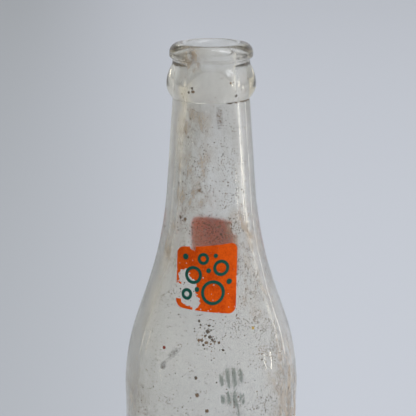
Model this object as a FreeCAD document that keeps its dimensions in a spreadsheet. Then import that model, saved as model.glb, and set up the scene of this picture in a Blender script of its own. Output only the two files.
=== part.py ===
import FreeCAD, Part
import math
import os
from collections import namedtuple
from types import SimpleNamespace

import Sketcher
from FreeCAD import Placement, Rotation, Vector

# A returnable soda bottle of clear pressed and blown glass, with an open crown finish at its mouth
# and fired enamel prints: a label on the front and the rear of the shoulder, and strokes on the rear panel.
# It stands on its bearing ring at z = 0, its axis is Z, and the front label faces -Y.

# Driving dimensions in millimetres and degrees
SIZES = (
    ("bottle_height", 197.0, "bearing ring to the top of the lip"),
    ("body_diameter", 56.4, "across the two contact bands"),
    ("glass_wall", 4.0, "wall of the neck, shoulder and body"),
    ("bore_diameter", 16.0, "straight bore of the mouth"),
    ("bore_length", 20.0, "from the top of the lip to the end of the straight bore"),
    ("throat_length", 6.0, "taper from the bore to the inside of the neck"),
    ("lip_diameter", 26.6, "crown lip, which the closure grips"),
    ("lip_top_round", 3.0, "outer round of the lip"),
    ("lip_mouth_round", 1.8, "inner round of the lip"),
    ("lip_land", 0.9, "upright stretch at the lip's widest"),
    ("lip_overhang", 1.0, "lip beyond the waist under it"),
    ("lip_under_round", 0.9, "both rounds from the lip in to the waist"),
    ("waist_round", 4.0, "hollow from the waist out to the collar"),
    ("collar_depth", 13.0, "top of the lip to the collar's widest"),
    ("collar_projection", 1.96, "collar beyond the waist"),
    ("collar_step", 1.96, "collar beyond the neck at the parting line"),
    ("collar_foot_round", 6.0, "round from the collar down to the parting line"),
    ("neck_length", 28.6, "parting line to the start of the flare"),
    ("neck_taper", 3.8, "slope of the neck's side to the axis"),
    ("flare_radius", 130.0, "hollow curve from the neck into the shoulder"),
    ("shoulder_straight", 10.3, "straight slope between the two curves"),
    ("shoulder_radius", 72.0, "full curve from the slope into the body"),
    ("shoulder_band", 1.5, "height of the upper contact band"),
    ("panel_recess", 0.16, "print panel inside the contact bands"),
    ("panel_ease", 1.0, "height of the slope from a band to the panel"),
    ("heel_band", 15.0, "base to the top of the lower contact band"),
    ("heel_round", 6.0, "round from the body to the base"),
    ("bearing_width", 3.0, "flat ring that the bottle stands on"),
    ("bearing_round", 1.5, "round from the ring into the push-up"),
    ("pushup_height", 3.5, "hollow of the base at its middle"),
    ("base_thickness", 6.5, "glass between the push-up and the floor"),
    ("floor_round", 7.0, "inner round from the wall to the floor"),
    ("enamel_thickness", 0.1, "one fired coat of enamel"),
    ("label_width", 19.0, "label across its stencil"),
    ("label_left_height", 18.2, "label's left side"),
    ("label_right_height", 21.6, "label's right side, which is taller"),
    ("label_corner", 2.2, "round of the label's corners"),
    ("label_below_neck", 26.2, "start of the flare down to the label's middle"),
    ("rear_label_lift", 2.4, "rear label above the front one"),
    ("label_margin", 0.8, "bare border round the bubbles"),
    ("bubble_line", 0.95, "width of the rings' line"),
    ("stroke_width", 1.5, "rear stroke across"),
    ("stroke_height", 21.0, "rear stroke from its foot to its top"),
    ("stroke_slant", 2.0, "how far a rear stroke leans"),
    ("stroke_pitch", 2.6, "one rear stroke to the next"),
    ("stroke_count", 4.0, "number of rear strokes"),
    ("stroke_offset", 2.2, "panel's middle to the first stroke's foot"),
    ("stroke_drop", 0.5, "panel's top down to the strokes' tops"),
)

# The bubbles of one label as radius, place across and place up, in shares of the room inside its border
RINGS = (
    (0.45, 0.28, -0.51),
    (0.33, -0.48, 0.11),
    (0.30, 0.57, 0.39),
    (0.22, -0.11, 0.72),
    (0.21, -0.72, -0.60),
)
DOTS = (
    (0.09, 0.10, 0.29),
    (0.09, -0.33, -0.41),
    (0.11, -0.80, 0.76),
    (0.08, 0.36, 0.84),
    (0.10, 0.88, -0.12),
)

# The lip's two rounds take at most these shares of the lip's wall
LIP_TOP_SHARE = 0.6
LIP_MOUTH_SHARE = 0.35
# How far a cutting outline runs past the glass that it cuts
CUT_PAST = 2.0
# The cavity leaves less of the glass form than this
MOST_LEFT = 0.9
# An edge runs along a stencil's press where its direction matches at least this closely
ALONG_PRESS = 0.99
FULL_TURN = 360

# Places that several outlines share, worked out from the driving dimensions
COLLAR_FOOT_DROP = "sqrt(sizes.collar_foot_round ^ 2 - (sizes.collar_foot_round - sizes.collar_step) ^ 2)"
FLARE_RADIAL = ("sizes.lip_diameter / 2 - sizes.lip_overhang + sizes.collar_projection - sizes.collar_step"
                " + sizes.neck_length * tan(sizes.neck_taper)")
FLARE_HEIGHT = f"sizes.bottle_height - sizes.collar_depth - {COLLAR_FOOT_DROP} - sizes.neck_length"
LIP_WALL = "(sizes.lip_diameter - sizes.bore_diameter) / 2"
TOP_ROUND = f"min(sizes.lip_top_round; {LIP_TOP_SHARE} * {LIP_WALL})"
MOUTH_ROUND = f"min(sizes.lip_mouth_round; {LIP_MOUTH_SHARE} * {LIP_WALL})"
BODY_RADIUS = "sizes.body_diameter / 2"
PANEL_RADIUS = f"{BODY_RADIUS} - sizes.panel_recess"
BEARING_RADIUS = f"({BODY_RADIUS} - sizes.heel_round - sizes.bearing_width)"
PUSHUP_RADIUS = (f"(({BEARING_RADIUS} ^ 2 + sizes.pushup_height ^ 2) / (2 * sizes.pushup_height)"
                 " - sizes.bearing_round)")
FRONT_LABEL_HEIGHT = f"{FLARE_HEIGHT} - sizes.label_below_neck"
REAR_LABEL_HEIGHT = f"{FRONT_LABEL_HEIGHT} + sizes.rear_label_lift"
BUBBLE_ROOM = "(min(sizes.label_width; sizes.label_left_height) / 2 - sizes.label_margin)"
# The slope of the shoulder that makes its two curves reach from the neck's radius to the body's
BOTH_CURVES = "(sizes.flare_radius + sizes.shoulder_radius)"
SHOULDER_SLOPE = (f"(acos((sizes.flare_radius * cos(sizes.neck_taper) + sizes.shoulder_radius - {BODY_RADIUS}"
                  f" + {FLARE_RADIAL}) / hypot({BOTH_CURVES}; sizes.shoulder_straight))"
                  f" - atan2(sizes.shoulder_straight; {BOTH_CURVES}))")
SHOULDER_END = (f"{FLARE_HEIGHT} + sizes.flare_radius * sin(sizes.neck_taper)"
                f" - {BOTH_CURVES} * sin({SHOULDER_SLOPE}) - sizes.shoulder_straight * cos({SHOULDER_SLOPE})")
PANEL_FOOT = "sizes.heel_band + sizes.panel_ease"
PANEL_TOP = f"{SHOULDER_END} - sizes.shoulder_band - sizes.panel_ease"

# Edge numbers that every sketch has: its origin point and its two axes
ORIGIN = (-1, 1)
LEVEL_AXIS = -1
UPRIGHT_AXIS = -2

Edge = namedtuple("Edge", "number first last")


class Outline:
    """A closed outline on one of a body's own planes, with constraints that read the sheet."""

    def __init__(self, body, name):
        self.sketch = body.newObject("Sketcher::SketchObject", name)
        plane = next(part for part in body.Origin.OriginFeatures if part.Role == "XZ_Plane")
        self.sketch.AttachmentSupport = [(plane, "")]
        self.sketch.MapMode = "FlatFace"

    def value(self, expression):
        return float(self.sketch.evalExpression(expression))

    def line(self, start, end):
        number = self.sketch.addGeometry(Part.LineSegment(Vector(*start), Vector(*end)), False)
        return Edge(number, (number, 1), (number, 2))

    def arc(self, centre, start, end):
        """The shorter arc about a centre; a sketch keeps every arc anticlockwise."""
        turns = [math.atan2(point[1] - centre[1], point[0] - centre[0]) for point in (start, end)]
        anticlockwise = (turns[1] - turns[0]) % math.tau < math.pi
        low, high = turns if anticlockwise else reversed(turns)
        circle = Part.Circle(Vector(*centre), Vector(0, 0, 1), math.dist(centre, start))
        number = self.sketch.addGeometry(Part.ArcOfCircle(circle, low, high), False)
        ends = ((number, 1), (number, 2))
        return Edge(number, *(ends if anticlockwise else ends[::-1]))

    def circle(self, centre, radius):
        return self.sketch.addGeometry(Part.Circle(Vector(*centre), Vector(0, 0, 1), radius), False)

    def fix(self, kind, *places):
        return self.sketch.addConstraint(Sketcher.Constraint(kind, *places))

    def join(self, before, after):
        self.fix("Coincident", *before.last, *after.first)

    def blend(self, before, after):
        self.fix("Tangent", *before.last, *after.first)

    def drive(self, kind, places, expression):
        number = self.fix(kind, *places, self.value(expression))
        name = f"size_{number}"
        self.sketch.renameConstraint(number, name)
        self.sketch.setExpression(f"Constraints.{name}", expression)

    def across(self, point, expression):
        self.drive("DistanceX", (*ORIGIN, *point), expression)

    def height(self, point, expression):
        self.drive("DistanceY", (*ORIGIN, *point), expression)

    def radius(self, edge, expression):
        self.drive("Radius", (edge.number,), expression)

    def centre(self, edge):
        return (edge.number, 3)


def make_sheet(doc):
    """The spreadsheet of driving dimensions, one named row each."""
    sheet = doc.addObject("Spreadsheet::Sheet", "sizes")
    for row, (name, number, meaning) in enumerate(SIZES, start=1):
        sheet.set(f"A{row}", name)
        sheet.set(f"B{row}", str(number))
        sheet.setAlias(f"B{row}", name)
        sheet.set(f"C{row}", meaning)
    doc.recompute()
    return SimpleNamespace(**{name: float(sheet.get(name)) for name, _, _ in SIZES})


def polar(centre, radius, angle):
    """The point of a circle at an angle in radians, from +X towards +Z."""
    return (centre[0] + radius * math.cos(angle), centre[1] + radius * math.sin(angle))


def shoulder_run(outline, size, offset):
    """The flare, the straight slope and the full shoulder, moved outwards by an offset.

    A positive offset is the outside of a coat of enamel, and a negative one the inside of the glass.
    """
    out = outline.value(offset)
    taper = math.radians(size.neck_taper)
    start = (outline.value(FLARE_RADIAL), outline.value(FLARE_HEIGHT))
    slope = math.radians(outline.value(SHOULDER_SLOPE))

    flare_centre = polar(start, size.flare_radius, taper)
    flare_end = polar(flare_centre, out - size.flare_radius, slope)
    shoulder_start = polar(flare_end, size.shoulder_straight, slope - math.pi / 2)
    shoulder_centre = polar(shoulder_start, -size.shoulder_radius - out, slope)
    shoulder_end = polar(shoulder_centre, size.shoulder_radius + out, 0)

    flare = outline.arc(flare_centre, polar(start, out, taper), flare_end)
    straight = outline.line(flare_end, shoulder_start)
    shoulder = outline.arc(shoulder_centre, shoulder_start, shoulder_end)

    outline.across(outline.centre(flare), f"{FLARE_RADIAL} + sizes.flare_radius * cos(sizes.neck_taper)")
    outline.height(outline.centre(flare), f"{FLARE_HEIGHT} + sizes.flare_radius * sin(sizes.neck_taper)")
    outline.height(flare.first, f"{FLARE_HEIGHT} + ({offset}) * sin(sizes.neck_taper)")
    outline.radius(flare, f"sizes.flare_radius - ({offset})")
    outline.blend(flare, straight)
    outline.drive("Distance", (straight.number,), "sizes.shoulder_straight")
    outline.blend(straight, shoulder)
    outline.radius(shoulder, f"sizes.shoulder_radius + ({offset})")
    outline.fix("Horizontal", *outline.centre(shoulder), *shoulder.last)
    outline.across(shoulder.last, f"{BODY_RADIUS} + ({offset})")
    points = SimpleNamespace(flare_start=polar(start, out, taper), shoulder_end=shoulder_end)
    return flare, straight, shoulder, points


def glass_outside(body, size):
    """The outer outline from the axis at the lip, down the side and back along the base."""
    outline = Outline(body, "outside_outline")
    top = size.bottle_height
    lip = size.lip_diameter / 2
    top_round = outline.value(TOP_ROUND)
    land_end = top - top_round - size.lip_land

    # Two equal rounds take the lip in to its waist
    under = size.lip_under_round
    under_turn = math.acos(1 - size.lip_overhang / (2 * under))
    under_centre = (lip - under, land_end)
    under_end = polar(under_centre, under, -under_turn)
    waist_height = land_end - 2 * under * math.sin(under_turn)
    waist = (lip - size.lip_overhang, waist_height)
    waist_centre = (waist[0] + under, waist_height)

    # A hollow and a full round take the waist out to the collar
    collar = (waist[0] + size.collar_projection, top - size.collar_depth)
    bulge_turn = 2 * math.atan2(size.collar_projection, waist_height - collar[1])
    bulge = (waist_height - collar[1]) / math.sin(bulge_turn) - size.waist_round
    hollow_centre = (waist[0] + size.waist_round, waist_height)
    hollow_end = polar(hollow_centre, size.waist_round, math.pi + bulge_turn)
    collar_foot = (collar[0] - size.collar_step, collar[1] - outline.value(COLLAR_FOOT_DROP))

    axis = outline.line((0, size.pushup_height), (0, top))
    lip_centre = (lip - top_round, top - top_round)
    lip_flat = outline.line((0, top), (lip_centre[0], top))
    lip_round = outline.arc(lip_centre, (lip_centre[0], top), (lip, lip_centre[1]))
    land = outline.line((lip, lip_centre[1]), (lip, land_end))
    lip_under = outline.arc(under_centre, (lip, land_end), under_end)
    lip_waist = outline.arc(waist_centre, under_end, waist)
    hollow = outline.arc(hollow_centre, waist, hollow_end)
    full = outline.arc((collar[0] - bulge, collar[1]), hollow_end, collar)
    foot = outline.arc((collar[0] - size.collar_foot_round, collar[1]), collar, collar_foot)
    outline.fix("PointOnObject", *axis.first, UPRIGHT_AXIS)
    outline.fix("PointOnObject", *axis.last, UPRIGHT_AXIS)
    outline.height(axis.first, "sizes.pushup_height")
    outline.height(axis.last, "sizes.bottle_height")
    outline.join(axis, lip_flat)
    outline.fix("Horizontal", lip_flat.number)
    outline.blend(lip_flat, lip_round)
    outline.radius(lip_round, TOP_ROUND)
    outline.blend(lip_round, land)
    outline.fix("Vertical", land.number)
    outline.across(land.first, "sizes.lip_diameter / 2")
    outline.drive("DistanceY", (*land.last, *land.first), "sizes.lip_land")
    outline.blend(land, lip_under)
    outline.radius(lip_under, "sizes.lip_under_round")
    outline.blend(lip_under, lip_waist)
    outline.radius(lip_waist, "sizes.lip_under_round")
    outline.drive("DistanceX", (*lip_waist.last, *land.first), "sizes.lip_overhang")
    outline.fix("Horizontal", *outline.centre(lip_waist), *lip_waist.last)
    outline.blend(lip_waist, hollow)
    outline.radius(hollow, "sizes.waist_round")
    outline.blend(hollow, full)
    outline.drive("DistanceX", (*lip_waist.last, *full.last), "sizes.collar_projection")
    outline.drive("DistanceY", (*full.last, *axis.last), "sizes.collar_depth")
    outline.fix("Horizontal", *outline.centre(full), *full.last)
    outline.blend(full, foot)
    outline.radius(foot, "sizes.collar_foot_round")
    outline.drive("DistanceX", (*foot.last, *foot.first), "sizes.collar_step")

    flare, straight, shoulder, points = shoulder_run(outline, size, "0")
    neck = outline.line(collar_foot, points.flare_start)
    outline.join(foot, neck)
    outline.join(neck, flare)

    # The print panel lies just inside the two bands that touch other bottles
    body_radius, band_top = points.shoulder_end
    panel_radius = body_radius - size.panel_recess
    band_foot = band_top - size.shoulder_band
    panel_top = (panel_radius, band_foot - size.panel_ease)
    panel_foot = (panel_radius, outline.value(PANEL_FOOT))
    heel_start = (body_radius, size.heel_round)
    heel_end = (body_radius - size.heel_round, 0)
    ring_end = (heel_end[0] - size.bearing_width, 0)
    pushup_radius = outline.value(PUSHUP_RADIUS)
    pushup_centre = (0, size.pushup_height - pushup_radius)
    ring_centre = (ring_end[0], size.bearing_round)
    ring_turn = math.atan2(ring_centre[1] - pushup_centre[1], ring_centre[0])
    pushup_start = polar(pushup_centre, pushup_radius, ring_turn)

    band = outline.line((body_radius, band_top), (body_radius, band_foot))
    ease_in = outline.line((body_radius, band_foot), panel_top)
    panel = outline.line(panel_top, panel_foot)
    ease_out = outline.line(panel_foot, (body_radius, size.heel_band))
    heel_side = outline.line((body_radius, size.heel_band), heel_start)
    heel = outline.arc((heel_end[0], size.heel_round), heel_start, heel_end)
    ring = outline.line(heel_end, ring_end)
    ring_round = outline.arc(ring_centre, ring_end, pushup_start)
    pushup = outline.arc(pushup_centre, pushup_start, (0, size.pushup_height))
    outline.join(shoulder, band)
    outline.fix("Vertical", band.number)
    outline.drive("DistanceY", (*band.last, *band.first), "sizes.shoulder_band")
    outline.join(band, ease_in)
    outline.join(ease_in, panel)
    outline.drive("DistanceY", (*ease_in.last, *ease_in.first), "sizes.panel_ease")
    outline.fix("Vertical", panel.number)
    outline.across(panel.first, PANEL_RADIUS)
    outline.join(panel, ease_out)
    outline.drive("DistanceY", (*ease_out.last, *ease_out.first), "sizes.panel_ease")
    outline.join(ease_out, heel_side)
    outline.fix("Vertical", heel_side.number)
    outline.across(heel_side.first, BODY_RADIUS)
    outline.height(heel_side.first, "sizes.heel_band")
    outline.blend(heel_side, heel)
    outline.radius(heel, "sizes.heel_round")
    outline.blend(heel, ring)
    outline.fix("Horizontal", ring.number)
    outline.fix("PointOnObject", *ring.first, LEVEL_AXIS)
    outline.drive("DistanceX", (*ring.last, *ring.first), "sizes.bearing_width")
    outline.blend(ring, ring_round)
    outline.radius(ring_round, "sizes.bearing_round")
    outline.blend(ring_round, pushup)
    outline.fix("PointOnObject", *outline.centre(pushup), UPRIGHT_AXIS)
    outline.join(pushup, axis)
    return outline.sketch


def glass_inside(body, size):
    """The cavity's outline: the rounded mouth, the bore, then the outer form moved in by the wall."""
    outline = Outline(body, "inside_outline")
    top = size.bottle_height
    bore = size.bore_diameter / 2
    mouth_round = outline.value(MOUTH_ROUND)
    mouth = bore + mouth_round
    bore_end = (bore, top - size.bore_length)
    throat_height = bore_end[1] - size.throat_length

    # The floor is domed over the push-up, and the wall meets it in one round
    floor_height = size.pushup_height + size.base_thickness
    floor_radius = outline.value(f"{PUSHUP_RADIUS} + sizes.base_thickness")
    floor_centre = (0, floor_height - floor_radius)
    wall_radius = size.body_diameter / 2 - size.glass_wall
    corner_across = wall_radius - size.floor_round
    corner_rise = math.sqrt((floor_radius + size.floor_round) ** 2 - corner_across ** 2)
    corner_centre = (corner_across, floor_centre[1] + corner_rise)
    floor_start = polar(floor_centre, floor_radius, math.atan2(corner_rise, corner_across))

    axis = outline.line((0, floor_height), (0, top + CUT_PAST))
    lid = outline.line((0, top + CUT_PAST), (mouth, top + CUT_PAST))
    lid_side = outline.line((mouth, top + CUT_PAST), (mouth, top))
    mouth_edge = outline.arc((mouth, top - mouth_round), (mouth, top), (bore, top - mouth_round))
    bore_side = outline.line((bore, top - mouth_round), bore_end)
    flare, straight, shoulder, points = shoulder_run(outline, size, "-sizes.glass_wall")
    fall = throat_height - points.flare_start[1]
    neck_start = (points.flare_start[0] - fall * math.tan(math.radians(size.neck_taper)), throat_height)
    throat = outline.line(bore_end, neck_start)
    neck = outline.line(neck_start, points.flare_start)
    wall_end = (wall_radius, corner_centre[1])
    wall = outline.line(points.shoulder_end, wall_end)
    corner = outline.arc(corner_centre, wall_end, floor_start)
    floor = outline.arc(floor_centre, floor_start, (0, floor_height))

    outline.fix("PointOnObject", *axis.first, UPRIGHT_AXIS)
    outline.fix("PointOnObject", *axis.last, UPRIGHT_AXIS)
    outline.height(axis.first, "sizes.pushup_height + sizes.base_thickness")
    outline.height(axis.last, f"sizes.bottle_height + {CUT_PAST}")
    outline.join(axis, lid)
    outline.fix("Horizontal", lid.number)
    outline.join(lid, lid_side)
    outline.fix("Vertical", lid_side.number)
    outline.join(lid_side, mouth_edge)
    outline.height(lid_side.last, "sizes.bottle_height")
    outline.fix("Vertical", *outline.centre(mouth_edge), *mouth_edge.first)
    outline.radius(mouth_edge, MOUTH_ROUND)
    outline.blend(mouth_edge, bore_side)
    outline.fix("Vertical", bore_side.number)
    outline.across(bore_side.first, "sizes.bore_diameter / 2")
    outline.height(bore_side.last, "sizes.bottle_height - sizes.bore_length")
    outline.join(bore_side, throat)
    outline.join(throat, neck)
    outline.height(neck.first, "sizes.bottle_height - sizes.bore_length - sizes.throat_length")
    outline.blend(neck, flare)
    outline.join(shoulder, wall)
    outline.fix("Vertical", wall.number)
    outline.blend(wall, corner)
    outline.radius(corner, "sizes.floor_round")
    outline.blend(corner, floor)
    outline.radius(floor, f"{PUSHUP_RADIUS} + sizes.base_thickness")
    outline.fix("PointOnObject", *outline.centre(floor), UPRIGHT_AXIS)
    outline.join(floor, axis)
    return outline.sketch


def revolve(body, kind, name, sketch):
    """A full turn of an outline about the bottle's axis."""
    feature = body.newObject(kind, name)
    feature.Profile = sketch
    feature.ReferenceAxis = (sketch, ["V_Axis"])
    feature.Angle = FULL_TURN
    return feature


def make_glass(doc, size):
    """The bottle itself, one piece of glass: a revolved form with its cavity cut out."""
    body = doc.addObject("PartDesign::Body", "glass_bottle")
    revolve(body, "PartDesign::Revolution", "glass_form", glass_outside(body, size))
    doc.recompute()
    full = body.Shape.Volume
    revolve(body, "PartDesign::Groove", "cavity", glass_inside(body, size))
    doc.recompute()
    if body.Shape.Volume > MOST_LEFT * full:
        raise RuntimeError("the cavity cut nothing out of the glass")
    return body


def make_shoulder_coat(doc, size, name, inner, outer):
    """One coat of enamel all round the shoulder, between two offsets from the glass."""
    body = doc.addObject("PartDesign::Body", name)
    outline = Outline(body, f"{name}_outline")
    in_flare, _, in_shoulder, in_points = shoulder_run(outline, size, inner)
    out_flare, _, out_shoulder, out_points = shoulder_run(outline, size, outer)
    upper = outline.line(in_points.flare_start, out_points.flare_start)
    lower = outline.line(in_points.shoulder_end, out_points.shoulder_end)
    outline.fix("Coincident", *upper.first, *in_flare.first)
    outline.fix("Coincident", *upper.last, *out_flare.first)
    outline.fix("Coincident", *lower.first, *in_shoulder.last)
    outline.fix("Coincident", *lower.last, *out_shoulder.last)
    revolve(body, "PartDesign::Revolution", f"{name}_form", outline.sketch)
    return body


def four_sides(outline, corners):
    """Four lines joined through four corners, in the corners' order."""
    sides = [outline.line(corners[turn], corners[(turn + 1) % 4]) for turn in range(4)]
    for turn, side in enumerate(sides):
        outline.join(side, sides[(turn + 1) % 4])
    return sides


def make_panel_coat(doc, size):
    """One coat of enamel all round the print panel."""
    body = doc.addObject("PartDesign::Body", "panel_coat")
    outline = Outline(body, "panel_coat_outline")
    low = outline.value(PANEL_FOOT)
    high = outline.value(PANEL_TOP)
    inner = outline.value(PANEL_RADIUS)
    outer = inner + size.enamel_thickness
    corners = ((inner, low), (outer, low), (outer, high), (inner, high))
    base, outside, top, inside = four_sides(outline, corners)
    for edge in (base, top):
        outline.fix("Horizontal", edge.number)
    for edge in (outside, inside):
        outline.fix("Vertical", edge.number)
    outline.across(inside.first, PANEL_RADIUS)
    outline.drive("DistanceX", (*base.first, *base.last), "sizes.enamel_thickness")
    outline.height(base.first, PANEL_FOOT)
    outline.height(top.first, PANEL_TOP)
    revolve(body, "PartDesign::Revolution", "panel_coat_form", outline.sketch)
    return body


def stencil(doc, name, facing):
    """An empty body for a stencil, turned so that its print faces the front or the rear."""
    body = doc.addObject("PartDesign::Body", name)
    body.Placement = Placement(Vector(0, 0, 0), Rotation(Vector(0, 0, 1), facing))
    return body


def press_through(body, name, sketch):
    """Push a stencil's outline from the axis out past the glass."""
    pad = body.newObject("PartDesign::Pad", name)
    pad.Profile = sketch
    pad.setExpression("Length", f"{BODY_RADIUS} + {CUT_PAST}")
    return pad


def label_stencil(doc, size, name, facing, height):
    """The label's ground: four sides, the right one taller, with rounded corners."""
    body = stencil(doc, name, facing)
    outline = Outline(body, f"{name}_outline")
    middle = outline.value(height)
    side = size.label_width / 2
    left_half = size.label_left_height / 2
    right_half = size.label_right_height / 2
    corners = ((-side, middle - left_half), (side, middle - right_half),
               (side, middle + right_half), (-side, middle + left_half))
    base, right, top, left = four_sides(outline, corners)
    outline.fix("Vertical", right.number)
    outline.fix("Vertical", left.number)
    outline.across(right.first, "sizes.label_width / 2")
    outline.drive("DistanceX", (*left.last, *right.first), "sizes.label_width")
    outline.height(right.first, f"{height} - sizes.label_right_height / 2")
    outline.height(left.last, f"{height} - sizes.label_left_height / 2")
    outline.drive("DistanceY", (*right.first, *right.last), "sizes.label_right_height")
    outline.drive("DistanceY", (*left.last, *left.first), "sizes.label_left_height")
    pad = press_through(body, f"{name}_pad", outline.sketch)
    doc.recompute()
    corner_edges = [f"Edge{number}" for number, edge in enumerate(pad.Shape.Edges, start=1)
                    if abs(edge.tangentAt(edge.FirstParameter).y) > ALONG_PRESS]
    rounds = body.newObject("PartDesign::Fillet", f"{name}_corners")
    rounds.Base = (pad, corner_edges)
    rounds.setExpression("Radius", "sizes.label_corner")
    return body


def bubble_stencil(doc, name, facing, height):
    """The bubbles that rise over the label's ground: rings of one line width, and plain dots."""
    body = stencil(doc, name, facing)
    outline = Outline(body, f"{name}_outline")
    for radius, across, up in RINGS + DOTS:
        place = (f"{across} * {BUBBLE_ROOM}", f"{height} + {up} * {BUBBLE_ROOM}")
        edges = [f"{radius} * {BUBBLE_ROOM}"]
        if (radius, across, up) in RINGS:
            edges.append(f"{radius} * {BUBBLE_ROOM} - sizes.bubble_line")
        for edge in edges:
            number = outline.circle([outline.value(way) for way in place], outline.value(edge))
            outline.across((number, 3), place[0])
            outline.height((number, 3), place[1])
            outline.drive("Radius", (number,), edge)
    press_through(body, f"{name}_pad", outline.sketch)
    return body


def stroke_stencil(doc, size, name, facing):
    """The slanted strokes of the rear panel: one stroke, repeated at a pitch."""
    body = stencil(doc, name, facing)
    outline = Outline(body, f"{name}_outline")
    high = outline.value(PANEL_TOP) - size.stroke_drop
    low = high - size.stroke_height
    left = -size.stroke_offset
    lean = size.stroke_slant
    wide = size.stroke_width
    corners = ((left - wide, low), (left, low), (left + lean, high), (left + lean - wide, high))
    base, right, top, far = four_sides(outline, corners)
    outline.fix("Horizontal", base.number)
    outline.fix("Horizontal", top.number)
    outline.across(right.first, "-sizes.stroke_offset")
    outline.drive("DistanceX", (*base.first, *base.last), "sizes.stroke_width")
    outline.drive("DistanceX", (*top.last, *top.first), "sizes.stroke_width")
    outline.drive("DistanceX", (*right.first, *right.last), "sizes.stroke_slant")
    outline.height(top.first, f"{PANEL_TOP} - sizes.stroke_drop")
    outline.drive("DistanceY", (*right.first, *right.last), "sizes.stroke_height")
    pad = press_through(body, f"{name}_pad", outline.sketch)
    doc.recompute()
    row = body.newObject("PartDesign::LinearPattern", f"{name}_row")
    row.Originals = [pad]
    row.Direction = (outline.sketch, ["H_Axis"])
    row.Reversed = True
    row.setExpression("Length", "sizes.stroke_pitch * (sizes.stroke_count - 1)")
    row.setExpression("Occurrences", "sizes.stroke_count")
    body.Tip = row
    return body


def print_enamel(doc, label, coat, mask):
    """What a stencil leaves of a coat of enamel."""
    enamel = doc.addObject("Part::Common", label)
    enamel.Base = coat
    enamel.Tool = mask
    return enamel


def check_document(doc, parts):
    """Stop if any object failed to build or any sub-part's shape is empty or broken."""
    failed = [thing.Label for thing in doc.Objects if {"Invalid", "Error"} & set(thing.State)]
    broken = [part.Label for part in parts if part.Shape.isNull() or not part.Shape.isValid()]
    if failed or broken:
        raise RuntimeError(f"failed: {failed}, broken: {broken}")


doc = FreeCAD.newDocument("soda_bottle")
size = make_sheet(doc)
FRONT = 0
REAR = 180

glass_bottle = make_glass(doc, size)
one_coat = "sizes.enamel_thickness"
ground_coat = make_shoulder_coat(doc, size, "ground_coat", "0", one_coat)
bubble_coat = make_shoulder_coat(doc, size, "bubble_coat", one_coat, f"2 * {one_coat}")
panel_coat = make_panel_coat(doc, size)
parts = [glass_bottle]
labels = (("front", FRONT, FRONT_LABEL_HEIGHT), ("rear", REAR, REAR_LABEL_HEIGHT))
for side, facing, height in labels:
    ground_mask = label_stencil(doc, size, f"{side}_label_stencil", facing, height)
    bubble_mask = bubble_stencil(doc, f"{side}_bubble_stencil", facing, height)
    parts.append(print_enamel(doc, f"{side}_label_ground", ground_coat, ground_mask))
    parts.append(print_enamel(doc, f"{side}_label_bubbles", bubble_coat, bubble_mask))
stroke_mask = stroke_stencil(doc, size, "rear_stroke_stencil", REAR)
parts.append(print_enamel(doc, "rear_body_strokes", panel_coat, stroke_mask))

doc.recompute()
check_document(doc, parts)
os.makedirs("parts", exist_ok=True)
for part in parts:
    part.Shape.exportStep(f"parts/{part.Label}.step")
    box = part.Shape.optimalBoundingBox()
    print(f"{part.Label}: {len(part.Shape.Solids)} solids, {part.Shape.Volume:.1f} mm3,"
          f" z {box.ZMin:.2f} to {box.ZMax:.2f}, x {box.XMin:.2f} to {box.XMax:.2f}")
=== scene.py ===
import math

import bmesh
import bpy
from mathutils import Matrix, Vector, noise


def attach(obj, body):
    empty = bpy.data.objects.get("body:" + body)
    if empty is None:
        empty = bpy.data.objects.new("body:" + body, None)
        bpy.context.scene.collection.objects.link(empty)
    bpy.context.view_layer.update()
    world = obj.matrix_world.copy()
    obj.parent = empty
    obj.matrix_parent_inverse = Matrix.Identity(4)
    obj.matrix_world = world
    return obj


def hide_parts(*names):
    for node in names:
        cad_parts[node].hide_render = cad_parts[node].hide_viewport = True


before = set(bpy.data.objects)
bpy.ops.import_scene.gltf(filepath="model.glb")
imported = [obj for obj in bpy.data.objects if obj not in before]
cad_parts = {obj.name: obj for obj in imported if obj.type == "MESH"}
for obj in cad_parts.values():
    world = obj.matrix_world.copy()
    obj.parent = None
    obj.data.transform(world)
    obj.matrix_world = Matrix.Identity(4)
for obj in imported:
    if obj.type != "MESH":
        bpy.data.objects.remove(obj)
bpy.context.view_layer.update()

# Glass bottle
# One piece of clear glass, pressed at the lip and blown below it, so one closed surface: up the outside from
# the push-up to the crown lip, over the mouth and down the inside. Its section is drawn and spun about Z.
MM = 0.001
UP = Vector((0, 0, 1))
OUT_OF_SECTION = (0, -1, 0)
HEIGHT = 197.0
BODY = 28.2
WALL = 4.0
BORE = 8.0
BORE_FOOT = 177.0
THROAT_FOOT = 171.0
LIP = 13.3
LIP_ROUND = 3.0
MOUTH_ROUND = 1.8
LIP_LAND = 0.9
LIP_OVERHANG = 1.0
UNDER_ROUND = 0.9
WAIST_ROUND = 4.0
COLLAR_DEPTH = 13.0
COLLAR_STEP = 1.96
COLLAR_FOOT_ROUND = 6.0
PARTING_EASE = 0.25
PARTING_STEPS = 3
NECK_LENGTH = 28.6
NECK_TAPER = math.radians(3.8)
FLARE = 130.0
SLOPE_LENGTH = 10.3
SHOULDER = 72.0
BAND = 1.5
PANEL_RECESS = 0.16
PANEL_EASE = 1.0
HEEL_BAND = 15.0
HEEL_ROUND = 6.0
BEARING_WIDTH = 3.0
BEARING_ROUND = 1.5
PUSHUP = 3.5
BASE = 6.5
FLOOR_ROUND = 7.0
SECTORS = 24
SECTOR_STEPS = 8
ARC_STEP = math.radians(3.0)
LONG_ARC_STEP = math.radians(0.75)
WELD = 0.01

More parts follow.
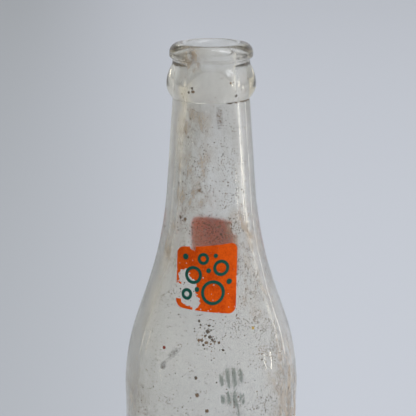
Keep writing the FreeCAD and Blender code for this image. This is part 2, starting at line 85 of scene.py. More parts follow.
waist = LIP - LIP_OVERHANG
under_turn = math.acos(1 - LIP_OVERHANG / (2 * UNDER_ROUND))
land_foot = HEIGHT - LIP_ROUND - LIP_LAND
waist_height = land_foot - 2 * UNDER_ROUND * math.sin(under_turn)
collar = waist + COLLAR_STEP
collar_height = HEIGHT - COLLAR_DEPTH
bulge_turn = 2 * math.atan2(COLLAR_STEP, waist_height - collar_height)
bulge = (waist_height - collar_height) / math.sin(bulge_turn) - WAIST_ROUND
foot_turn = math.acos(1 - COLLAR_STEP / COLLAR_FOOT_ROUND)
neck_top = collar_height - COLLAR_FOOT_ROUND * math.sin(foot_turn)
neck_foot = neck_top - NECK_LENGTH
neck_radius = waist + NECK_LENGTH * math.tan(NECK_TAPER)

# The slope between the two long curves is the one that lets them reach from the neck to the body
both_curves = FLARE + SHOULDER
reach = FLARE * math.cos(NECK_TAPER) + SHOULDER - BODY + neck_radius
slope = math.acos(reach / math.hypot(both_curves, SLOPE_LENGTH)) - math.atan2(SLOPE_LENGTH, both_curves)
flare_turn = slope - NECK_TAPER
flare_centre = (neck_radius + FLARE * math.cos(NECK_TAPER), neck_foot + FLARE * math.sin(NECK_TAPER))
band_top = flare_centre[1] - both_curves * math.sin(slope) - SLOPE_LENGTH * math.cos(slope)
shoulder_centre = (BODY - SHOULDER, band_top)

ring_radius = BODY - HEEL_ROUND - BEARING_WIDTH
pushup_radius = (ring_radius ** 2 + PUSHUP ** 2) / (2 * PUSHUP) - BEARING_ROUND
pushup_centre = (0.0, PUSHUP - pushup_radius)
ring_turn = math.atan2(BEARING_ROUND - pushup_centre[1], ring_radius)
floor_radius = pushup_radius + BASE
corner = BODY - WALL - FLOOR_ROUND
corner_rise = math.sqrt((floor_radius + FLOOR_ROUND) ** 2 - corner ** 2)
corner_height = pushup_centre[1] + corner_rise
floor_turn = math.atan2(corner_rise, corner)


def run_to(section, tip, across, height):
    """A straight stretch of the section from its tip."""
    end = bmesh.ops.extrude_vert_indiv(section, verts=[tip])["verts"][0]
    end.co = Vector((across, 0, height)) * MM
    return end


def turn_by(section, tip, centre, turn, step=ARC_STEP):
    """A round stretch: the section's tip is spun about a centre, anticlockwise where turn is positive."""
    middle = Vector((centre[0], 0, centre[1])) * MM
    steps = max(2, math.ceil(abs(turn) / step))
    spun = bmesh.ops.spin(section, geom=[tip], cent=middle, axis=OUT_OF_SECTION, angle=turn, steps=steps)
    return next(part for part in spun["geom_last"] if isinstance(part, bmesh.types.BMVert))


def outer_section(section):
    """The outside, from the middle of the push-up to the crest of the lip."""
    tip = section.verts.new((0, 0, PUSHUP * MM))
    tip = turn_by(section, tip, pushup_centre, ring_turn - math.pi / 2, LONG_ARC_STEP * 2)
    tip = turn_by(section, tip, (ring_radius, BEARING_ROUND), math.pi / 2 - ring_turn)
    tip = run_to(section, tip, BODY - HEEL_ROUND, 0)
    tip = turn_by(section, tip, (BODY - HEEL_ROUND, HEEL_ROUND), math.pi / 2)
    tip = run_to(section, tip, BODY, HEEL_BAND)
    tip = run_to(section, tip, BODY - PANEL_RECESS, HEEL_BAND + PANEL_EASE)
    tip = run_to(section, tip, BODY - PANEL_RECESS, band_top - BAND - PANEL_EASE)
    tip = run_to(section, tip, BODY, band_top - BAND)
    tip = run_to(section, tip, BODY, band_top)
    tip = turn_by(section, tip, shoulder_centre, slope, LONG_ARC_STEP)
    slope_top = (flare_centre[0] - FLARE * math.cos(slope), flare_centre[1] - FLARE * math.sin(slope))
    tip = run_to(section, tip, *slope_top)
    tip = turn_by(section, tip, flare_centre, -flare_turn, LONG_ARC_STEP)
    parting = tip = run_to(section, tip, waist, neck_top)
    tip = turn_by(section, tip, (collar - COLLAR_FOOT_ROUND, collar_height), foot_turn)
    tip = turn_by(section, tip, (collar - bulge, collar_height), bulge_turn)
    tip = turn_by(section, tip, (waist + WAIST_ROUND, waist_height), -bulge_turn)
    tip = turn_by(section, tip, (waist + UNDER_ROUND, waist_height), -under_turn, ARC_STEP * 2)
    tip = turn_by(section, tip, (LIP - UNDER_ROUND, land_foot), under_turn, ARC_STEP * 2)
    tip = run_to(section, tip, LIP, HEIGHT - LIP_ROUND)
    tip = turn_by(section, tip, (LIP - LIP_ROUND, HEIGHT - LIP_ROUND), math.pi / 2)
    bmesh.ops.bevel(section, geom=[parting], offset=PARTING_EASE * MM, affect="VERTICES",
                    segments=PARTING_STEPS, profile=0.5, material=-1)


def inner_section(section):
    """The inside, from the crest of the lip to the middle of the floor."""
    tip = section.verts.new(Vector((LIP - LIP_ROUND, 0, HEIGHT)) * MM)
    tip = run_to(section, tip, BORE + MOUTH_ROUND, HEIGHT)
    tip = turn_by(section, tip, (BORE + MOUTH_ROUND, HEIGHT - MOUTH_ROUND), math.pi / 2)
    tip = run_to(section, tip, BORE, BORE_FOOT)
    flare_top = (neck_radius - WALL * math.cos(NECK_TAPER), neck_foot - WALL * math.sin(NECK_TAPER))
    throat = flare_top[0] - (THROAT_FOOT - flare_top[1]) * math.tan(NECK_TAPER)
    tip = run_to(section, tip, throat, THROAT_FOOT)
    tip = run_to(section, tip, *flare_top)
    tip = turn_by(section, tip, flare_centre, flare_turn, LONG_ARC_STEP)
    inner_shoulder = SHOULDER - WALL
    tip = run_to(section, tip, shoulder_centre[0] + inner_shoulder * math.cos(slope),
                 shoulder_centre[1] + inner_shoulder * math.sin(slope))
    tip = turn_by(section, tip, shoulder_centre, -slope, LONG_ARC_STEP)
    tip = run_to(section, tip, BODY - WALL, corner_height)
    tip = turn_by(section, tip, (corner, corner_height), floor_turn - math.pi)
    turn_by(section, tip, pushup_centre, math.pi / 2 - floor_turn, LONG_ARC_STEP * 2)


def spin_bottle():
    """The whole glass: one sector is spun from the section, and is then repeated round the axis."""
    glass = bmesh.new()
    inside = glass.verts.layers.float.new("inside")
    outer_section(glass)
    outer = set(glass.verts)
    inner_section(glass)
    for vert in glass.verts:
        vert[inside] = vert not in outer
    sector = math.tau / SECTORS
    bmesh.ops.spin(glass, geom=glass.verts[:] + glass.edges[:], cent=(0, 0, 0), axis=UP, angle=sector,
                   steps=SECTOR_STEPS)
    bmesh.ops.spin(glass, geom=glass.verts[:] + glass.edges[:] + glass.faces[:], cent=(0, 0, 0), axis=UP,
                   angle=math.tau - sector, steps=SECTORS - 1, use_duplicate=True)
    for face in glass.faces:
        face.smooth = True
    bmesh.ops.remove_doubles(glass, verts=glass.verts, dist=WELD * MM)
    bmesh.ops.recalc_face_normals(glass, faces=glass.faces)
    return glass


def make_piece(name, shape, material):
    """An object at the origin from a bmesh, riding on the bottle's one body."""
    mesh = bpy.data.meshes.new(name)
    shape.to_mesh(mesh)
    shape.free()
    mesh.materials.append(material)
    piece = bpy.data.objects.new(name, mesh)
    bpy.context.collection.objects.link(piece)
    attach(piece, "root")
    return piece


class Wire:
    """One output of a shader node. Arithmetic on it adds Math nodes, and node() adds any other kind."""

    def __init__(self, tree, socket=None):
        self.tree = tree
        self.socket = socket

    def node(self, kind, sockets, output=0, **settings):
        """A new node: its settings are made first, then its sockets are set or linked."""
        made = self.tree.nodes.new("ShaderNode" + kind)
        for name, value in settings.items():
            setattr(made, name, value)
        for name, value in sockets.items():
            if isinstance(value, Wire):
                self.tree.links.new(value.socket, made.inputs[name])
            else:
                made.inputs[name].default_value = value
        return Wire(self.tree, made.outputs[output] if made.outputs else None)

    def other(self, output):
        """Another output of the same node."""
        return Wire(self.tree, self.socket.node.outputs[output])

    def maths(self, operation, *values):
        """A Math node on these values."""
        return self.node("Math", dict(enumerate(values)), operation=operation)

    def __add__(self, value):
        return self.maths("ADD", self, value)

    def __sub__(self, value):
        return self.maths("SUBTRACT", self, value)

    def __rsub__(self, value):
        return self.maths("SUBTRACT", value, self)

    def __mul__(self, value):
        return self.maths("MULTIPLY", self, value)

    def __truediv__(self, value):
        return self.maths("DIVIDE", self, value)

    def __gt__(self, value):
        return self.maths("GREATER_THAN", self, value)

    __radd__ = __add__
    __rmul__ = __mul__

    def rise(self, low, high):
        """0 below low and 1 above high, with a smooth climb between. It falls where low is the greater."""
        return self.node("MapRange", {"Value": self, 1: low, 2: high}, interpolation_type="SMOOTHSTEP")

    def mix(self, first, second):
        """A colour from first at 0 to second at 1."""
        return self.node("Mix", {0: self, 6: first, 7: second}, output=2, data_type="RGBA")

    def times(self, stretch):
        """This vector with each part multiplied."""
        return self.node("VectorMath", {0: self, 1: stretch}, operation="MULTIPLY")

    def near(self, spot, reach):
        """1 at a spot and 0 further than reach from it."""
        away = self.node("VectorMath", {0: self, 1: spot}, output="Value", operation="DISTANCE")
        return away.rise(reach, 0)

    def noise(self, scale, detail=3.0, roughness=0.55):
        """Cloudy noise at this place, from about 0.2 to 0.8."""
        return self.node("TexNoise", {"Vector": self, "Scale": scale, "Detail": detail,
                                      "Roughness": roughness})


def begin_finish(name):
    """A new material and the piece's own coordinates in millimetres."""
    material = bpy.data.materials.new(name)
    material.use_nodes = True
    tree = material.node_tree
    tree.nodes.clear()
    place = Wire(tree).node("TexCoord", {}, output="Object").times((1 / MM,) * 3)
    return material, place


def end_finish(shader, volume=None):
    """Puts a shader on the surface, and what fills the piece inside it."""
    sockets = {"Surface": shader} if volume is None else {"Surface": shader, "Volume": volume}
    shader.node("OutputMaterial", sockets)


def glass_radius(height, lift=0.0):
    """The glass's outer radius at a height, with the surface moved out by lift.

    The lip counts as a plain ring, and all below the shoulder as print panel.
    """
    slope_foot = band_top + SHOULDER * math.sin(slope)
    if height > waist_height:
        return LIP + lift
    if height > neck_top:
        round_off = bulge if height > collar_height else COLLAR_FOOT_ROUND
        return collar - round_off + math.sqrt((round_off + lift) ** 2 - (height - collar_height) ** 2)
    if height > neck_foot:
        return waist + (neck_top - height) * math.tan(NECK_TAPER) + lift / math.cos(NECK_TAPER)
    if height > flare_centre[1] - FLARE * math.sin(slope):
        return flare_centre[0] - math.sqrt((FLARE - lift) ** 2 - (flare_centre[1] - height) ** 2)
    if height > slope_foot:
        foot_radius = shoulder_centre[0] + SHOULDER * math.cos(slope)
        return foot_radius - (height - slope_foot) * math.tan(slope) + lift / math.cos(slope)
    if height > band_top:
        return shoulder_centre[0] + math.sqrt((SHOULDER + lift) ** 2 - (height - band_top) ** 2)
    return BODY - PANEL_RECESS + lift


def on_glass(angle, height):
    """The point of the outside at an angle in degrees to the right of the front, and at a height."""
    turn = math.radians(angle)
    radius = glass_radius(height)
    return (radius * math.sin(turn), -radius * math.cos(turn), height)


GLASS_TINT = (0.98, 0.98, 0.97, 1)
GLASS_IOR = 1.5
GLASS_DEPTH_COLOUR = (0.71, 0.67, 0.50, 1)
GLASS_DEPTH = 31.0
SHADOW_TINT = (0.88, 0.88, 0.86, 1)
HAZE = (0.75, 0.74, 0.72, 1)
BROWN_STAIN = (0.47, 0.36, 0.245, 1)
SMUDGE = (0.075, 0.07, 0.065, 1)
BROWN_SMEAR = (0.16, 0.105, 0.07, 1)
TEAL_SMEAR = (0.20, 0.31, 0.30, 1)
GRIT = (0.065, 0.042, 0.024, 1)
RUST = (0.18, 0.105, 0.05, 1)
DIRT_ROUGHNESS = 0.7
# Noise scales to the millimetre, from broad clouds to fine powder
CLOUDS = 0.07
WAVES = 0.08
DRIFTS = 0.3
BLOTCHES = 0.35
RUSTY_SPOTS = 0.4
WIPES = 0.45
CREASE_WANDER = 0.7
CREASE_GAPS = 1.1
RAGGED = 2.0
POWDER = 2.6
# How far ragged edges move, and how strong and how many metres deep the waves in the glass are
RAGGED_REACH = 1.0
WAVE_STRENGTH = 0.10
WAVE_DEPTH = 0.002
# Heights over which the haze, the neck's brown, the grit and the blur come in, and those of the collar
HAZE_HEIGHTS = (150, 95)
BROWN_HEIGHTS = (125, 150)
GRIT_HEIGHTS = (194, 186)
BLUR_HEIGHTS = (100, 125)
COLLAR_FROM = (177, 181)
COLLAR_TO = (191, 188)
# How thick the haze, the stain and the grit are away from their patches, and how rough the glass is
HAZE_ABOVE = 0.012
HAZE_BELOW = 0.07
HAZE_BELOW_OUTSIDE = 0.03
HAZE_SHARES = (0.5, 0.6, 1.1)
STAIN_BASE = 0.06
STAIN_NECK = 0.12
STAIN_INSIDE = 0.2
STAIN_OUTSIDE = 0.3
STAIN_EDGE = (0.38, 0.75)
BLOTCH_STRETCH = (1.0, 1.0, 0.45)
BLOTCH_BASE = 0.6
BLOTCH_POWDER = 0.8
GRIT_BASE = 0.02
GRIT_FRONT = 0.045
GRIT_FRONT_DEPTHS = (14, -4)
GRIT_INSIDE = 0.25
DRIFT_EDGE = (0.32, 0.6)
SMOOTH = 0.05
BLUR_OUTSIDE = 0.07
BLUR_INSIDE = 0.12
# Crumbs of grit: how many to the millimetre, and their radius as a share of their spacing
CRUMBS = ((0.73, 0.23), (1.24, 0.31), (2.1, 0.40))
CRUMB_CORE = 0.65
GRIT_COVER = 0.9
FILM_COVER = 0.95
GRIT_EDGE = (0.0, 0.35)
GRAIN_EDGE = (0.25, 0.4)
FLECK_EDGE = (0.2, 0.4)
SMEAR_EDGE = (0.36, 0.62)
RUSTY_EDGE = (0.42, 0.62)
# The line of dirt in the crease under the collar: its height, its ends in radians, and how it wanders
CREASE_DROP = 0.2
CREASE = neck_top - CREASE_DROP
CREASE_FROM, CREASE_TO = 0.55, 1.5
CREASE_FADE = 0.1
CREASE_SWING = 0.5
CREASE_EDGE = (0.36, 0.16)
CREASE_GAP_EDGE = (0.42, 0.54)
# Where grit has settled: angle from the front, height, reach and how thickly
GRIT_PATCHES = (
    (-30, 166, 13, 0.24),
    (-26, 150, 14, 0.26),
    (38, 164, 13, 0.28),
    (8, 154, 15, 0.16),
    (4, 140, 9, 0.85),
    (16, 138, 5, 0.60),
    (42, 147, 12, 0.46),
    (46, 136, 12, 0.75),
    (49, 124, 13, 0.70),
    (50, 112, 12, 0.50),
    (6, 108, 8, 0.36),
    (26, 111, 6, 0.55),
    (58, 101, 14, 0.80),
    (63, 86, 15, 0.85),
    (40, 80, 13, 0.50),
    (-36, 141, 9, 0.36),
    (-36, 119, 8, 0.40),
    (-58, 84, 15, 0.50),
    (-20, 78, 14, 0.30),
)
# Brown stains: angle from the front, height, reach and strength. The last two, at the right of the body, are
# partly stain and partly painted shade that darkens the glass's right edge
STAIN_AND_SHADE_PATCHES = (
    (-28, 193, 7, 2.2),
    (-32, 174, 11, 0.7),
    (-20, 173, 8, 1.3),
    (-16, 161, 8, 1.2),
    (-30, 160, 12, 0.8),
    (-20, 150, 9, 1.2),
    (-34, 148, 12, 1.0),
    (-42, 134, 13, 1.5),
    (47, 140, 10, 0.9),
    (50, 134, 14, 1.0),
    (50, 118, 14, 1.0),
    (-58, 84, 16, 0.8),
    # Partly painted shade: these two darken the right edge of the body
    (66, 94, 15, 1.6),
    (74, 78, 16, 2.0),
)
# Single dark grains: angle, height and reach
GRAINS = (
    (2.7, 108.9, 1.0),
    (4.2, 107.3, 0.9),
    (6.0, 106.4, 0.8),
    (-1.8, 106.3, 0.9),
    (-3.9, 106.2, 0.8),
    (1.6, 105.6, 0.8),
    (10.8, 105.6, 0.8),
    (3.6, 110.6, 0.7),
    (1.0, 107.6, 0.7),
    (5.2, 109.3, 0.6),
    (7.8, 105.9, 0.6),
    (4.8, 105.2, 0.6),
    (-0.5, 104.8, 0.7),
    (-3.2, 110.8, 0.6),
    (13.5, 103.3, 0.7),
    (-4.5, 112.0, 0.7),
    (-4.9, 94.6, 0.9),
    (-4.0, 89.2, 1.0),
    (2.5, 84.1, 1.0),
    (-18.5, 183.3, 0.9),
    (-19.5, 184.4, 0.7),
    (-24.8, 183.0, 0.6),
    (39.5, 181.8, 0.8),
    (31.0, 186.0, 0.6),
    (2.5, 141.3, 0.5),
    (16.5, 138.4, 0.7),
    (12.0, 137.5, 0.6),
    (-10.0, 152.0, 0.7),
    (-35.0, 143.0, 0.8),
    (-28.0, 142.5, 0.9),
)
# Smears: angle, height, tilt, half length, half breadth, strength and colour. The teal is rubbed-off enamel
SMEARS = (
    (17, 175, 90, 4.4, 1.3, 0.80, BROWN_SMEAR),
    (-21.5, 102.0, 34, 3.2, 1.0, 0.75, SMUDGE),
    (-25.5, 99.5, 38, 4.6, 0.7, 0.45, SMUDGE),
    (-29.0, 97.2, 60, 1.6, 1.2, 1.0, SMUDGE),
    (-34, 193.6, 90, 2.6, 1.4, 0.45, BROWN_SMEAR),
    (-21, 193.8, 90, 2.6, 1.2, 0.50, BROWN_SMEAR),
    (167.5, 77.8, 90, 4.6, 6.2, 0.55, TEAL_SMEAR),
    (167.0, 69.8, 90, 4.4, 5.4, 0.55, TEAL_SMEAR),
)
# Single coloured flecks: angle, height, reach and colour
FLECKS = (
    (-30.0, 102.8, 0.9, (0.24, 0.025, 0.01, 1)),
    (38.9, 108.9, 0.8, (0.50, 0.33, 0.06, 1)),
)


def shaken(place, scale, amount):
    """The coordinates moved about by noise, so that what reads them has ragged edges."""
    shift = place.node("TexNoise", {"Vector": place, "Scale": scale, "Detail": 3.0}, output="Color")
    moved = place.node("VectorMath", {0: shift, 1: (amount,) * 3, 2: place}, operation="MULTIPLY_ADD")
    return moved.node("VectorMath", {0: moved, 1: (amount / 2,) * 3}, operation="SUBTRACT")


def haze_film(place, height, outside, powder):
    """A thin pale haze, thicker low down, and on the outside."""
    patches = (place.noise(CLOUDS, detail=4.0), place.noise(WIPES, detail=5.0, roughness=0.65), powder)
    haze = height.rise(*HAZE_HEIGHTS) * (HAZE_BELOW + HAZE_BELOW_OUTSIDE * outside)
    haze = haze + (HAZE_ABOVE + HAZE_ABOVE * outside)
    return haze * sum(share * patch for share, patch in zip(HAZE_SHARES, patches))


def stain_and_shade_film(place, height, outside, powder):
    """Brown water marks in blotches, strong in their patches and faint elsewhere; the patches at the body's
    right also paint shade on its edge.
    """
    stain_and_shade = STAIN_BASE + STAIN_NECK * height.rise(*BROWN_HEIGHTS)
    for angle, level, reach, strength in STAIN_AND_SHADE_PATCHES:
        stain_and_shade = stain_and_shade + place.near(on_glass(angle, level), reach) * strength
    blotch = place.times(BLOTCH_STRETCH).noise(BLOTCHES, detail=4.0)
    blotch = (blotch * (BLOTCH_BASE + BLOTCH_POWDER * powder)).rise(*STAIN_EDGE)
    return stain_and_shade * blotch * (STAIN_INSIDE + STAIN_OUTSIDE * outside)


def grit_layer(place, split, outside):
    """Dark crumbs in three sizes: many in their patches, few elsewhere, fewest inside and at the rear."""
    settled = GRIT_BASE + GRIT_FRONT * split.other("Y").rise(*GRIT_FRONT_DEPTHS)
    for angle, level, reach, thickness in GRIT_PATCHES:
        settled = settled + place.near(on_glass(angle, level), reach) * thickness
    drifts = place.noise(DRIFTS, detail=0.0).rise(*DRIFT_EDGE)
    settled = settled * drifts * split.other("Z").rise(*GRIT_HEIGHTS)
    settled = settled * (GRIT_INSIDE + (1 - GRIT_INSIDE) * outside)
    grit = 0.0
    for scale, size in CRUMBS:
        crumb = place.node("TexVoronoi", {"Vector": place, "Scale": scale})
        lot = crumb.node("SeparateColor", {0: crumb.other("Color")})
        grit = grit + (settled > lot) * crumb.rise(size, size * CRUMB_CORE)
    return grit * GRIT_COVER


def crease_dirt(place, height, bearing):
    """The thin line that has dried into the parting crease under the collar, on the right."""
    off = height + place.noise(CREASE_WANDER) * CREASE_SWING - (CREASE + CREASE_SWING / 2)
    line = off.maths("ABSOLUTE", off).rise(*CREASE_EDGE) * place.noise(CREASE_GAPS).rise(*CREASE_GAP_EDGE)
    begun = bearing.rise(CREASE_FROM - CREASE_FADE, CREASE_FROM)
    return line * begun * bearing.rise(CREASE_TO, CREASE_TO - CREASE_FADE)


def smear_at(bearing, height, angle, level, tilt, long, broad):
    """1 in the middle of a slanting smear and 0 at its edge."""
    across = (bearing - math.radians(angle)) * glass_radius(level)
    up = height - level
    turn = math.radians(tilt)
    along = (across * math.cos(turn) + up * math.sin(turn)) / long
    over = (up * math.cos(turn) - across * math.sin(turn)) / broad
    return (along * along + over * over).rise(1.0, 0.0)


def glass_finish(name):
    """Clear glass under dried dirt: a film of haze, stain and smears, then grit, single grains and flecks."""
    material, place = begin_finish(name)
    inside = place.node("Attribute", {}, output="Fac", attribute_name="inside")
    outside = 1 - inside
    split = place.node("SeparateXYZ", {0: place})
    height = split.other("Z")
    bearing = place.maths("ARCTAN2", split, split.other("Y") * -1.0)
    ragged = shaken(place, RAGGED, RAGGED_REACH)
    powder = place.noise(POWDER, detail=3.0, roughness=0.7)

    # The stain film also holds painted shade at the right edge of the body
    stain_and_shade = stain_and_shade_film(place, height, outside, powder)
    film = haze_film(place, height, outside, powder) + stain_and_shade
    dust = (stain_and_shade / film).mix(HAZE, BROWN_STAIN)
    for *place_and_form, strength, tone in SMEARS:
        smear = smear_at(bearing, height, *place_and_form) * powder.rise(*SMEAR_EDGE) * outside * strength
        film = film + smear
        dust = (smear / film).mix(dust, tone)

    marks = crease_dirt(place, height, bearing)
    for angle, level, reach in GRAINS:
        marks = marks + ragged.near(on_glass(angle, level), reach).rise(*GRAIN_EDGE)
    grit = grit_layer(place, split, outside) + marks * outside
    grit = grit.maths("MINIMUM", grit, 1.0) * GRIT_COVER
    crumbs = place.noise(RUSTY_SPOTS, detail=2.0).rise(*RUSTY_EDGE).mix(GRIT, RUST)

    cover = 1 - (1 - film.maths("MINIMUM", film, FILM_COVER)) * (1 - grit)
    colour = grit.rise(*GRIT_EDGE).mix(dust, crumbs)
    for angle, level, reach, tone in FLECKS:
        fleck = ragged.near(on_glass(angle, level), reach).rise(*FLECK_EDGE) * outside
        cover = cover.maths("MAXIMUM", cover, fleck)
        colour = fleck.mix(colour, tone)

    waves = place.noise(WAVES, detail=1.0)
    normal = place.node("Bump", {"Strength": WAVE_STRENGTH, "Distance": WAVE_DEPTH, "Height": waves})
    off_collar = 1 - height.rise(*COLLAR_FROM) * height.rise(*COLLAR_TO)
    blur = BLUR_OUTSIDE * outside * off_collar + BLUR_INSIDE * inside
    roughness = SMOOTH + blur * height.rise(*BLUR_HEIGHTS)
    glass = place.node("BsdfPrincipled", {"Base Color": GLASS_TINT, "Roughness": roughness, "IOR": GLASS_IOR,
                                          "Transmission Weight": 1.0, "Normal": normal})
    dirt = place.node("BsdfPrincipled", {"Base Color": colour, "Roughness": DIRT_ROUGHNESS, "Normal": normal})
    surface = place.node("MixShader", {0: cover, 1: glass, 2: dirt})
    # In the shadow that a lamp casts, the glass is only a tint
    clear = place.node("BsdfTransparent", {"Color": SHADOW_TINT})
    lamp_ray = place.node("LightPath", {}, output="Is Shadow Ray")
    depth = place.node("VolumeAbsorption", {"Color": GLASS_DEPTH_COLOUR, "Density": GLASS_DEPTH})
    end_finish(place.node("MixShader", {0: lamp_ray, 1: surface, 2: clear}), depth)
    return material


glass_bottle = make_piece("bottle_glass", spin_bottle(), glass_finish("soiled_glass"))
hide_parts("glass_bottle")

# Labels
# Enamel that was screened on and fired to the glass, on the front and the rear of the shoulder: a ground with
# rounded corners, then bubbles over it in a second colour. Handling has chipped both grounds, most of all the
# left of the front one.
ENAMEL = 0.1
KEYED_IN = 0.02
LABEL_BELOW_NECK = 26.2
LABEL_MIDDLE = neck_foot - LABEL_BELOW_NECK
REAR_LABEL_LIFT = 2.4
LABEL_WIDTH = 19.0
LABEL_LEFT = 18.2
LABEL_RIGHT = 21.6
LABEL_CORNER = 2.2
LABEL_CORNER_STEPS = 8
CHIP_CELL = 0.25
BUBBLE_ROOM = 8.3
BUBBLE_LINE = 0.95
BUBBLE_SIDES = 48
# Bubbles as radius, place across and place up, in shares of the room that the label leaves them
RINGS = (
    (0.45, 0.28, -0.51),
    (0.33, -0.48, 0.11),
    (0.30, 0.57, 0.39),
    (0.22, -0.11, 0.72),
    (0.21, -0.72, -0.60),
)
DOTS = (
    (0.09, 0.10, 0.29),
    (0.09, -0.33, -0.41),
    (0.11, -0.80, 0.76),
    (0.08, 0.36, 0.84),
    (0.10, 0.88, -0.12),
)
# Chips as place across and up from the label's middle, half width and half height
FRONT_CHIPS = (
    (-6.9, 0.0, 2.0, 2.3),
    (-5.6, -2.6, 2.6, 2.8),
    (-9.2, -4.2, 2.2, 2.5),
    (-5.0, -6.5, 2.7, 2.3),
    (-3.2, -7.4, 1.7, 1.6),
    (-4.3, 9.7, 0.9, 1.3),
    (-3.6, -9.8, 0.4, 2.2),
)
REAR_CHIPS = (
    (7.6, -6.5, 1.8, 2.6),
    (-8.2, 7.0, 1.4, 2.0),
    (2.0, -10.0, 1.6, 0.8),
)
# How ragged the chips are: depth of the noise and its scale to the millimetre
CHIP_EDGES = ((0.5, 0.8), (0.6, 1.9))
PINHOLE = 0.60
PINHOLE_SCALE = 1.8
PINHOLE_SEED = 50.0


def noise_on(across, up, seed):
    """Smooth noise about 0 at a place on a flat print, in a layer of its own for each seed."""
    return noise.noise(Vector((across, up, seed)))


def chipped(across, up, chips, seed):
    """Above 0 where the enamel has been lost, at a place on the label."""
    lost = max(1 - ((across - x) / wide) ** 2 - ((up - y) / tall) ** 2 for x, y, wide, tall in chips)
    lost += sum(depth * noise_on(across * scale, up * scale, seed) for depth, scale in CHIP_EDGES)
    pinholes = noise_on(across * PINHOLE_SCALE, up * PINHOLE_SCALE, seed + PINHOLE_SEED)
    return max(lost, pinholes - PINHOLE)


def cut_chips(flat, is_lost):
    """Slices a flat print into small cells, takes out the lost ones and evens the broken edge."""
    for normal in (Vector((1, 0, 0)), UP):
        reach = [vert.co @ normal for vert in flat.verts]
        for step in range(1, math.ceil((max(reach) - min(reach)) / (CHIP_CELL * MM))):
            bmesh.ops.bisect_plane(flat, geom=flat.verts[:] + flat.edges[:] + flat.faces[:],
                                   plane_co=normal * (min(reach) + step * CHIP_CELL * MM), plane_no=normal)
    rim = {vert for vert in flat.verts if vert.is_boundary}
    centres = {face: face.calc_center_median() / MM for face in flat.faces}
    lost = [face for face, spot in centres.items() if is_lost(spot.x, spot.z)]
    bmesh.ops.delete(flat, geom=lost, context="FACES")
    broken = [vert for vert in flat.verts if vert.is_boundary and vert not in rim]
    bmesh.ops.smooth_vert(flat, verts=broken, factor=0.5, use_axis_x=True, use_axis_z=True)


def fire_on(flat, lift, facing):
    """Wraps a flat print round the glass as one coat of enamel, on the front or turned to the rear."""
    under = flat.verts[:]
    coat = bmesh.ops.extrude_face_region(flat, geom=flat.faces[:])
    over = [part for part in coat["geom"] if isinstance(part, bmesh.types.BMVert)]
    for verts, level in ((under, lift - KEYED_IN), (over, lift + ENAMEL)):
        for vert in verts:
            radius = glass_radius(vert.co.z / MM, level) * MM
            vert.co.y = -math.sqrt(radius ** 2 - vert.co.x ** 2)
    bmesh.ops.recalc_face_normals(flat, faces=flat.faces)
    bmesh.ops.rotate(flat, verts=flat.verts, cent=(0, 0, 0), matrix=Matrix.Rotation(facing, 3, "Z"))
    return flat


def label_ground(middle, chips, seed):
    """The flat ground: four corners, the right side taller, rounded and then chipped."""
    flat = bmesh.new()
    corners = ((-1, -LABEL_LEFT), (1, -LABEL_RIGHT), (1, LABEL_RIGHT), (-1, LABEL_LEFT))
    verts = [flat.verts.new((side * LABEL_WIDTH / 2 * MM, 0, (middle + tall / 2) * MM))
             for side, tall in corners]
    flat.faces.new(verts)
    bmesh.ops.bevel(flat, geom=verts, offset=LABEL_CORNER * MM, affect="VERTICES",
                    segments=LABEL_CORNER_STEPS, profile=0.5, material=-1)
    cut_chips(flat, lambda across, height: chipped(across, height - middle, chips, seed) > 0)
    return flat


def label_bubbles(middle):
    """The flat bubbles: rings of one line width, and plain dots."""
    flat = bmesh.new()
    upright = Matrix.Rotation(math.pi / 2, 4, "X")
    for radius, across, up in RINGS + DOTS:
        place = Vector((across * BUBBLE_ROOM, 0, middle + up * BUBBLE_ROOM)) * MM
        circle = bmesh.ops.create_circle(flat, cap_ends=True, segments=BUBBLE_SIDES,
                                         radius=radius * BUBBLE_ROOM * MM,
                                         matrix=Matrix.Translation(place) @ upright)
        face = circle["verts"][0].link_faces[0]
        if (radius, across, up) in RINGS:
            bmesh.ops.inset_region(flat, faces=[face], thickness=BUBBLE_LINE * MM, use_boundary=True,
                                   use_even_offset=True)
            bmesh.ops.delete(flat, geom=[face], context="FACES_ONLY")
        else:
            bmesh.ops.poke(flat, faces=[face])
    return flat


ORANGE = (0.84, 0.115, 0.006, 1)
THIN_ORANGE = (0.50, 0.044, 0.002, 1)
ORANGE_ROUGHNESS = 0.42
TEAL = (0.009, 0.080, 0.060, 1)
THIN_TEAL = (0.020, 0.110, 0.084, 1)
TEAL_ROUGHNESS = 0.40
MOTTLE = 0.35
MOTTLE_SHARE = 0.55
MOTTLE_EDGE = (0.35, 0.75)
SCREEN_GRAIN = 2.2
SCREEN_SHARE = 0.45
SCREEN_EDGE = (0.35, 0.7)
SCREEN_STRENGTH = 0.2
SCREEN_DEPTH = 0.0001
ENAMEL_SHEEN = 0.06


def enamel_finish(name, colour, thin, roughness):
    """Fired enamel: uneven from the screen, thinner in spots, with a low gloss."""
    material, place = begin_finish(name)
    mottle = place.noise(MOTTLE, detail=4.0).rise(*MOTTLE_EDGE)
    grain = place.noise(SCREEN_GRAIN, detail=3.0).rise(*SCREEN_EDGE)
    tone = (mottle * MOTTLE_SHARE + grain * SCREEN_SHARE).mix(colour, thin)
    normal = place.node("Bump", {"Strength": SCREEN_STRENGTH, "Distance": SCREEN_DEPTH, "Height": grain})
    end_finish(place.node("BsdfPrincipled", {"Base Color": tone, "Roughness": roughness, "Normal": normal,
                                             "Specular IOR Level": ENAMEL_SHEEN}))
    return material


orange_enamel = enamel_finish("orange_enamel", ORANGE, THIN_ORANGE, ORANGE_ROUGHNESS)
teal_enamel = enamel_finish("teal_enamel", TEAL, THIN_TEAL, TEAL_ROUGHNESS)
FRONT = 0.0
REAR = math.pi
